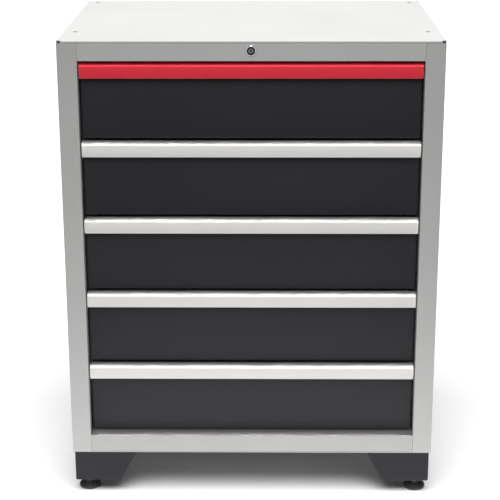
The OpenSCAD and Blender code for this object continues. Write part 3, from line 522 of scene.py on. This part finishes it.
def lock_rings(profile):
    """Rings round the lock's axis from pairs of radius, by angle or one number, and depth along Y."""
    radius = np.array([np.broadcast_to(r, LOCK_ANGLES.shape) for r, _ in profile])
    depth = np.array([np.full(LOCK_ANGLES.shape, y) for _, y in profile])
    ring = np.stack([radius * np.cos(LOCK_ANGLES), depth, radius * np.sin(LOCK_ANGLES)], -1)
    return ring + lock_middle * np.array([1, 0, 1])


def slot_outline(half_w, half_h):
    """The key slot by angle: the nearer of the two straight sides that a ray from the axis meets."""
    across, up = np.abs(np.cos(LOCK_ANGLES)), np.abs(np.sin(LOCK_ANGLES))
    return 1.0 / np.maximum(across / half_w, up / half_h)


lock_middle = np.array(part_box("lock_barrel")).mean(axis=0)
# The barrel is darkened behind 10 mm, as painted shade.
dress("lock_barrel", polished_metal("lock_chrome", CHROME, CHROME_ROUGH, CHROME_MARKS, CHROME_SHADE_FROM))
ring_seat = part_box("top_rail")[0].y - RING_AHEAD
ring_top = ring_seat - RING_RISE
ring_profile = [
    (RING_IN, ring_seat), (RING_IN, ring_top + RING_EDGE), (RING_IN + RING_EDGE, ring_top),
    (RING_OUT - RING_EDGE, ring_top), (RING_OUT, ring_top + RING_EDGE), (RING_OUT, ring_seat)]
# Near black with no sheen: partly the ring's own black, partly painted shade of the recess round the plug.
rubber_and_shade = moulded_plastic("lock_dust_rubber_and_shade", RUBBER_AND_SHADE_BLACK, RUBBER_ROUGH, NO_FLOOR, 0.0)
fit(skin("lock_dust_ring", lock_rings(ring_profile)[None], wrap=True), rubber_and_shade, "foot_plastic", "cabinet")
plug_low, plug_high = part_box("lock_plug")
plug_r = (plug_high.x - plug_low.x) / 2
slot = slot_outline(SLOT_HALF_W, SLOT_HALF_H)
plug_profile = [
    (plug_r, plug_high.y), (plug_r, plug_low.y + PLUG_CHAMFER), (plug_r - PLUG_CHAMFER, plug_low.y),
    (slot + SLOT_CHAMFER, plug_low.y), (slot, plug_low.y + SLOT_CHAMFER), (slot, plug_low.y + SLOT_DEEP)]
# The plug is darkened behind the first 0.3 mm of its key slot, as painted shade.
plug_steel = polished_metal("lock_plug_steel", PLUG_COLOR, PLUG_ROUGH, PLUG_MARKS, plug_low.y + PLUG_SHADE_FROM)
plug = skin("lock_turned_plug", lock_rings(plug_profile)[None])
fit(plug, plug_steel, "lock_steel", "lock_core", "lock_plug")
bright_metal = [nodes["lock_barrel"], plug]


# Drawer boxes: one folded sheet for the sides and bottom, two end walls, and a catch for the lock bar.
# Coated dark grey; the middle and inner members of the telescopic runners are zinc plated.
DRAWERS = range(1, 6)
DRAWER_GREY, DRAWER_EDGE, DRAWER_ROUGH = (0.0252, 0.0252, 0.0305), (0.08, 0.08, 0.084), 0.5
DRAWER_SHEEN, BOX_DUST = 0.42, 0.02


def drawer_coat(piece, corners, dust):
    """The coat of a drawer's box or front."""
    name = "drawer_coat_" + piece
    return coated_steel(name, corners, DRAWER_GREY, DRAWER_ROUGH, DRAWER_EDGE, dust, DRAWER_SHEEN)


for k in DRAWERS:
    dress(f"drawer_{k}_box", drawer_coat(f"{k}_box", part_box(f"drawer_{k}_box"), BOX_DUST))
    dress(f"drawer_{k}_middle_runners", plated)
    dress(f"drawer_{k}_inner_runners", plated)


# Drawer fronts: a pan of sheet steel with rounded edges, folded back and returned onto the box.
# Satin dark grey powder coat; screwed to the front wall of the box from inside.
PAN_SHEET, PAN_BEND, PAN_BACK_BEND, PAN_RETURN = 1.2 * MM, 2.4 * MM, 2.0 * MM, 18 * MM
PAN_CORNER, PAN_CORNER_LEAST, FRONT_DUST = 5 * MM, 0.6 * MM, 0.015
QUARTER = np.linspace(0.0, np.pi / 2, 9)


def rounded_ring(half_x, half_z, radius):
    """Points round rectangles, shape (rings, points, 2): four quarter circles about the corner centres."""
    angle = (QUARTER + np.arange(4)[:, None] * np.pi / 2).reshape(-1)
    side_x = np.repeat(np.array([1, -1, -1, 1]), len(QUARTER))
    side_z = np.repeat(np.array([1, 1, -1, -1]), len(QUARTER))
    x = side_x * (half_x - radius)[:, None] + radius[:, None] * np.cos(angle)
    z = side_z * (half_z - radius)[:, None] + radius[:, None] * np.sin(angle)
    return np.stack([x, z], -1)


def pan_rings(low, high):
    """A folded pan: rounded rectangles that shrink by the profile's inset at the profile's depth.

    The profile runs over the face bend, the edge, the back bend and the return, then back inside the sheet.
    """
    deep, t, r, b = high[1] - low[1], PAN_SHEET, PAN_BEND, PAN_BACK_BEND
    back = QUARTER[::-1]
    inset = np.concatenate([r - r * np.sin(QUARTER), b - b * np.cos(QUARTER), [PAN_RETURN, PAN_RETURN],
                            b - (b - t) * np.cos(back), r - (r - t) * np.sin(back)])
    depth = np.concatenate([r - r * np.cos(QUARTER), deep - b + b * np.sin(QUARTER), [deep, deep - t],
                            deep - b + (b - t) * np.sin(back), r - (r - t) * np.cos(back)])
    middle = (low + high) / 2
    half = (high - low) / 2
    ring = rounded_ring(half[0] - inset, half[2] - inset, np.maximum(PAN_CORNER - inset, PAN_CORNER_LEAST))
    rings = np.empty((*ring.shape[:2], 3))
    rings[..., 0] = middle[0] + ring[..., 0]
    rings[..., 1] = (low[1] + depth)[:, None]
    rings[..., 2] = middle[2] + ring[..., 1]
    return rings


for k in DRAWERS:
    low, high = np.array(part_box(f"drawer_{k}_front"))
    coat = drawer_coat(f"{k}_front", (low, high), FRONT_DUST)
    pan = skin(f"drawer_{k}_front_pan", pan_rings(low, high)[None])
    fit(pan, coat, "drawer_paint", f"drawer_{k}", f"drawer_{k}_front")


# Front screws: pan head screws with a cross recess hold each drawer front, set from inside the box.
# Zinc plated steel, four along the bottom and one near the top of each side.
SCREW_HEAD, SCREW_RISE, SCREW_DOME, BOX_SHEET = 8 * MM, 2.2 * MM, 1.08, 1 * MM
SCREW_ALONG = np.array([-240, -80, 80, 240]) * MM
SCREW_FROM_SIDE, SCREW_LOW, SCREW_HIGH = 5.8 * MM, 6 * MM, 90 * MM
CROSS_HALF, CROSS_REACH, CROSS_DEEP, CROSS_SIDES, CROSS_ENDS = 0.22, 0.55, 0.45, 4.0, 6.0
HEAD_SHARES = np.linspace(1.0, 0.03, 14)[:, None]


def screw_rings():
    """A screw head round Y: a domed cap whose height drops by a smooth cross where either axis is near."""
    x, z = HEAD_SHARES * np.cos(FASTENER_ANGLES), HEAD_SHARES * np.sin(FASTENER_ANGLES)
    arm = np.clip(CROSS_SIDES * (1 - np.minimum(np.abs(x), np.abs(z)) / CROSS_HALF), 0, 1)
    cross = arm * np.clip(CROSS_ENDS * (CROSS_REACH - HEAD_SHARES), 0, 1)
    rise = SCREW_RISE * (np.sqrt(1 - HEAD_SHARES ** 2 / SCREW_DOME) - CROSS_DEEP * cross)
    cap = np.stack([0.5 * SCREW_HEAD * x, rise, 0.5 * SCREW_HEAD * z], -1)
    return np.concatenate([cap[:1] * np.array([1, 0, 1]), cap])


for k in DRAWERS:
    low, high = np.array(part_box(f"drawer_{k}_box"))
    edge_x = high[0] - SCREW_FROM_SIDE
    across = np.array([*SCREW_ALONG, -edge_x, edge_x])
    up = low[2] + np.where(np.abs(across) < edge_x, SCREW_LOW, SCREW_HIGH)
    spots = np.stack([across, np.full(across.shape, low[1] + BOX_SHEET), up], -1)
    heads = skin(f"drawer_{k}_front_screws", screw_rings()[None] + spots[:, None, None], smooth=50)
    fit(heads, fastener, "zinc_steel", f"drawer_{k}")


# Pulls: an aluminium extrusion over the full width of each drawer, with a rounded front lip, a bevel,
# a sloped top and a flange against the panel. The top one is anodised red, the others plain.
PULL_WALL, LIP_HEIGHT, FLANGE_LOW = 2 * MM, 26.4 * MM, 9 * MM
BEVEL_DEPTH, BEVEL_RISE = 7 * MM, 2.2 * MM
PULL_BENDS = np.array([7, 7, 2.4]) * MM
BEND_STEPS, LIP_STEPS = 10, 11
BROKEN_EDGE, BROKEN_STEPS, BROKEN_ANGLE = 0.4 * MM, 2, np.radians(60)
RED, RED_EDGE = (0.64, 0.010, 0.031), (0.78, 0.22, 0.24)
SILVER, SILVER_EDGE = (0.715, 0.705, 0.690), (0.93, 0.92, 0.91)
PULL_ROUGH, PULL_METAL, OXIDE, OXIDE_ROUGH, RUB_WIDTH, RUB_SHOW = 0.42, 0.65, 0.3, 0.3, 1.6 * MM, 0.4
DIE_STRETCH, DIE_TONE, DIE_GLOSS, DIE_DEPTH = (0.4, 1400.0, 1400.0), 0.12, 0.1, 0.005 * MM
DIE_DARKEST, ANODE_CELLS, ANODE_TONE = 0.9, 7.0, 0.07


def bent_strip(path, wall, bends):
    """Outline of a bent strip: the path with its corners rounded, and the same moved inwards by the wall.

    At each corner both sides turn about one centre, its bend away outside and that less the wall inside.
    """
    step = np.diff(path, axis=0)
    ahead = step / np.linalg.norm(step, axis=1)[:, None]
    left = np.stack([-ahead[:, 1], ahead[:, 0]], -1)
    turn = np.arccos(np.sum(ahead[:-1] * ahead[1:], axis=1))
    centre = path[1:-1] - (bends * np.tan(turn / 2))[:, None] * ahead[:-1] - bends[:, None] * left[:-1]
    sweep = np.linspace(0, 1, BEND_STEPS)[None] * -turn[:, None]
    out = np.stack([left[:-1, 0, None] * np.cos(sweep) - left[:-1, 1, None] * np.sin(sweep),
                    left[:-1, 0, None] * np.sin(sweep) + left[:-1, 1, None] * np.cos(sweep)], -1)
    outer = (centre[:, None] + bends[:, None, None] * out).reshape(-1, 2)
    inner = (centre[:, None] + (bends - wall)[:, None, None] * out).reshape(-1, 2)
    ends = path[[0, -1]] - wall * left[[0, -1]]
    return np.concatenate([path[:1], outer, path[-1:]]), np.concatenate([ends[:1], inner, ends[1:]])


def pull_rings(low, high):
    """The pull: its outline in Y and Z at both ends of the drawer, with a half round lip end.

    Behind the bevel the top rises to a corner that lies above the full height by its slope times the bend.
    """
    slope = (high[2] - low[2] - LIP_HEIGHT - BEVEL_RISE) / (high[1] - low[1] - BEVEL_DEPTH)
    path = np.array([(low[1], low[2] + PULL_WALL / 2), (low[1], low[2] + LIP_HEIGHT),
                     (low[1] + BEVEL_DEPTH, low[2] + LIP_HEIGHT + BEVEL_RISE),
                     (high[1], high[2] + slope * PULL_BENDS[2]), (high[1], low[2] + FLANGE_LOW)])
    outer, inner = bent_strip(path, PULL_WALL, PULL_BENDS)
    half_turn = np.linspace(0, np.pi, LIP_STEPS)[1:-1]
    lip = np.stack([low[1] + PULL_WALL / 2 * (1 + np.cos(half_turn)),
                    low[2] + PULL_WALL / 2 * (1 - np.sin(half_turn))], -1)
    outline = np.concatenate([outer, inner[::-1], lip])
    ends = np.broadcast_to(outline, (2, *outline.shape))
    side = np.array([low[0], high[0]])[:, None]
    return np.stack([np.broadcast_to(side, ends.shape[:2]), ends[..., 0], ends[..., 1]], -1)


def extruded_group():
    """Extruded aluminium: die lines along X in tone, gloss and relief, and a slow drift."""
    tree, given, put = shade_group("die_lines", {"Color": "Color", "Roughness": "Float"}, SURFACE)
    where = on_object(tree)
    lines = noise(tree, where, cells=1.0, detail=4.0, stretch=DIE_STRETCH)
    drift = calc(tree, "MULTIPLY", noise(tree, where, ANODE_CELLS), ANODE_TONE)
    tone = calc(tree, "ADD", calc(tree, "MULTIPLY_ADD", lines, DIE_TONE, DIE_DARKEST), drift)
    feed(tree, put["Color"], shaded(tree, given["Color"], tone))
    feed(tree, put["Roughness"], calc(tree, "MULTIPLY_ADD", lines, DIE_GLOSS, given["Roughness"]))
    feed(tree, put["Height"], lines)
    return tree


EXTRUDED = extruded_group()


def anodised(name, corners, color, edge_color):
    """Satin anodised extrusion: tinted metal under a thin clear oxide, rubbed paler along its edges."""
    made, tree, shader = finish_material(name)
    drawn = grouped(tree, EXTRUDED, Color=(*color, 1.0), Roughness=PULL_ROUGH)
    edge = grouped(tree, EDGE, Low=tuple(corners[0]), High=tuple(corners[1]), Width=RUB_WIDTH)["Mask"]
    rubbed = tint(tree, calc(tree, "MULTIPLY", edge, RUB_SHOW), drawn["Color"], (*edge_color, 1.0))
    feed(tree, shader.inputs["Base Color"], rubbed)
    feed(tree, shader.inputs["Roughness"], drawn["Roughness"])
    feed(tree, shader.inputs["Metallic"], PULL_METAL)
    feed(tree, shader.inputs["Coat Weight"], OXIDE)
    feed(tree, shader.inputs["Coat Roughness"], OXIDE_ROUGH)
    bump(tree, shader, drawn["Height"], DIE_DEPTH)
    return made


for k in DRAWERS:
    low, high = np.array(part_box(f"drawer_{k}_pull"))
    tones, slot_name = ((RED, RED_EDGE), "red_pull") if k == 1 else ((SILVER, SILVER_EDGE), "silver_pull")
    metal = anodised(f"pull_anodised_{k}", (low, high), *tones)
    pull = skin(f"drawer_{k}_pull_profile", pull_rings(low, high)[None])
    soft = pull.modifiers.new("broken_edges", "BEVEL")
    soft.width, soft.segments = BROKEN_EDGE, BROKEN_STEPS
    soft.limit_method, soft.angle_limit = "ANGLE", BROKEN_ANGLE
    fit(pull, metal, slot_name, f"drawer_{k}", f"drawer_{k}_pull")
    bright_metal.append(pull)


# Floor: a plain pale studio floor. The part near the cabinet throws light back on it;
# the rest is only seen, so the room in front stays dim for the upper drawers.
NEAR_FLOOR, FAR_FLOOR, FLOOR_STEPS = 0.95, 60.0, 96
FLOOR_WHITE, FLOOR_ROUGH = (0.8, 0.8, 0.8, 1.0), 0.9


def floor_part(name, inner, outer):
    """A flat ring of floor between two radii."""
    angle = np.linspace(0, 2 * np.pi, FLOOR_STEPS, endpoint=False)
    radius = np.array([inner, outer])[:, None]
    ring = np.stack([radius * np.cos(angle), radius * np.sin(angle), np.zeros((2, FLOOR_STEPS))], -1)
    here = np.arange(FLOOR_STEPS)
    beside = (here + 1) % FLOOR_STEPS
    quads = np.stack([here, here + FLOOR_STEPS, beside + FLOOR_STEPS, beside], -1)
    mesh = bpy.data.meshes.new(name)
    mesh.from_pydata(ring.reshape(-1, 3).tolist(), [], quads.tolist())
    made = bpy.data.objects.new(name, mesh)
    made.data.materials.append(floor_paint)
    bpy.context.scene.collection.objects.link(made)
    return made


floor_paint, floor_tree, floor_shader = finish_material("floor_paint")
feed(floor_tree, floor_shader.inputs["Base Color"], FLOOR_WHITE)
feed(floor_tree, floor_shader.inputs["Roughness"], FLOOR_ROUGH)
feed(floor_tree, floor_shader.inputs["Specular IOR Level"], 0.0)
near_floor = floor_part("near_floor", 0.0, NEAR_FLOOR)
far_floor = floor_part("far_floor", NEAR_FLOOR, FAR_FLOOR)
far_floor.visible_diffuse = False
far_floor.visible_glossy = False
floor_parts = near_floor, far_floor


# Light: a soft overhead light and a wide fill from the front light the cabinet, in a dim grey room.
# Others light some pieces alone: a wash the floor, a level glow the pulls and the lock, a lower fill
# the bottom rail, whose ledge stays dark, and two from the rear corners the sides and the back.
KEY_POWER, KEY_WIDTH, KEY_LEAN = 4.25, 19, -3.5
FILL_POWER, FILL_WIDTH, FILL_LEAN = 1.5, 38, 55
LOW_POWER, LOW_WIDTH, LOW_LEAN = 0.92, 24, 68
WASH_POWER, WASH_WIDTH, WASH_LEAN = 4.95, 58, 17
GLOW_POWER, GLOW_WIDTH, GLOW_LEAN = 1.1, 60, 88
SIDE_POWER, SIDE_WIDTH, SIDE_LEAN, SIDE_TURN = 0.7, 40, 75, 122
ROOM, BACKDROP, WHITE = 0.08, 1.0, (1.0, 1.0, 1.0, 1.0)


def soft_sun(name, power, width, lean, parts, state, turn=0):
    """A distant round light that lights only the given parts, or all but these, as the state says.

    Width is its angle across, lean its tilt from overhead to the front, turn its way round to the right.
    """
    lamp = bpy.data.objects.new(name, bpy.data.lights.new(name, "SUN"))
    lamp.data.energy, lamp.data.angle = power, np.radians(width)
    lamp.rotation_euler = (np.radians(lean), 0, np.radians(turn))
    bpy.context.scene.collection.objects.link(lamp)
    linked = bpy.data.collections.new(name + "_parts")
    for part in parts:
        linked.objects.link(part)
    for link in linked.collection_objects:
        link.light_linking.link_state = state
    lamp.light_linking.receiver_collection = linked


low_rail = [nodes["bottom_rail"]]
outer_sheets = [nodes[name] for name in OUTER_SHEETS]
soft_sun("overhead_light", KEY_POWER, KEY_WIDTH, KEY_LEAN, floor_parts, "EXCLUDE")
soft_sun("front_light", FILL_POWER, FILL_WIDTH, FILL_LEAN, [*floor_parts, *low_rail], "EXCLUDE")
soft_sun("rail_light", LOW_POWER, LOW_WIDTH, LOW_LEAN, low_rail, "INCLUDE")
soft_sun("floor_wash", WASH_POWER, WASH_WIDTH, WASH_LEAN, floor_parts, "INCLUDE")
soft_sun("pull_glow", GLOW_POWER, GLOW_WIDTH, GLOW_LEAN, bright_metal, "INCLUDE")
soft_sun("left_light", SIDE_POWER, SIDE_WIDTH, SIDE_LEAN, outer_sheets, "INCLUDE", -SIDE_TURN)
soft_sun("right_light", SIDE_POWER, SIDE_WIDTH, SIDE_LEAN, outer_sheets, "INCLUDE", SIDE_TURN)
world = bpy.context.scene.world or bpy.data.worlds.new("room")
bpy.context.scene.world = world
world.use_nodes = True
room = world.node_tree
seen = wire(room, "ShaderNodeLightPath").outputs["Is Camera Ray"]
strength = wire(room, "ShaderNodeMapRange", {0: seen, 3: ROOM, 4: BACKDROP}).outputs[0]
backdrop = room.nodes.get("Background") or wire(room, "ShaderNodeBackground")
feed(room, backdrop.inputs["Color"], WHITE)
feed(room, backdrop.inputs["Strength"], strength)
outlet = room.nodes.get("World Output") or wire(room, "ShaderNodeOutputWorld")
feed(room, outlet.inputs["Surface"], backdrop.outputs[0])
bpy.context.scene.view_settings.view_transform = "Standard"


# Camera: set up from the photograph's edges, a little above the top and looking down on it.
# A long lens on a stand in front, turned and rolled by less than a degree.
CAMERA_PLACE = (0.0281, -2.8923, 1.3461)
CAMERA_YAW, CAMERA_PITCH, CAMERA_ROLL = -0.6654, 17.6437, 0.121
CAMERA_LENS, CAMERA_SENSOR = 104.735, 36.0
yaw, pitch, roll = np.radians([CAMERA_YAW, CAMERA_PITCH, CAMERA_ROLL])
ahead = np.array([np.sin(yaw) * np.cos(pitch), np.cos(yaw) * np.cos(pitch), -np.sin(pitch)])
level = np.array([np.cos(yaw), -np.sin(yaw), 0.0])
down = np.cross(ahead, level)
right = np.cos(roll) * level + np.sin(roll) * down
below = np.cos(roll) * down - np.sin(roll) * level
camera = bpy.data.objects.new("camera", bpy.data.cameras.new("camera"))
camera.data.lens, camera.data.sensor_width = CAMERA_LENS, CAMERA_SENSOR
stand = np.vstack([np.column_stack([right, -below, -ahead, CAMERA_PLACE]), [0, 0, 0, 1]])
camera.matrix_world = Matrix(stand.tolist())
bpy.context.scene.collection.objects.link(camera)
bpy.context.scene.camera = camera
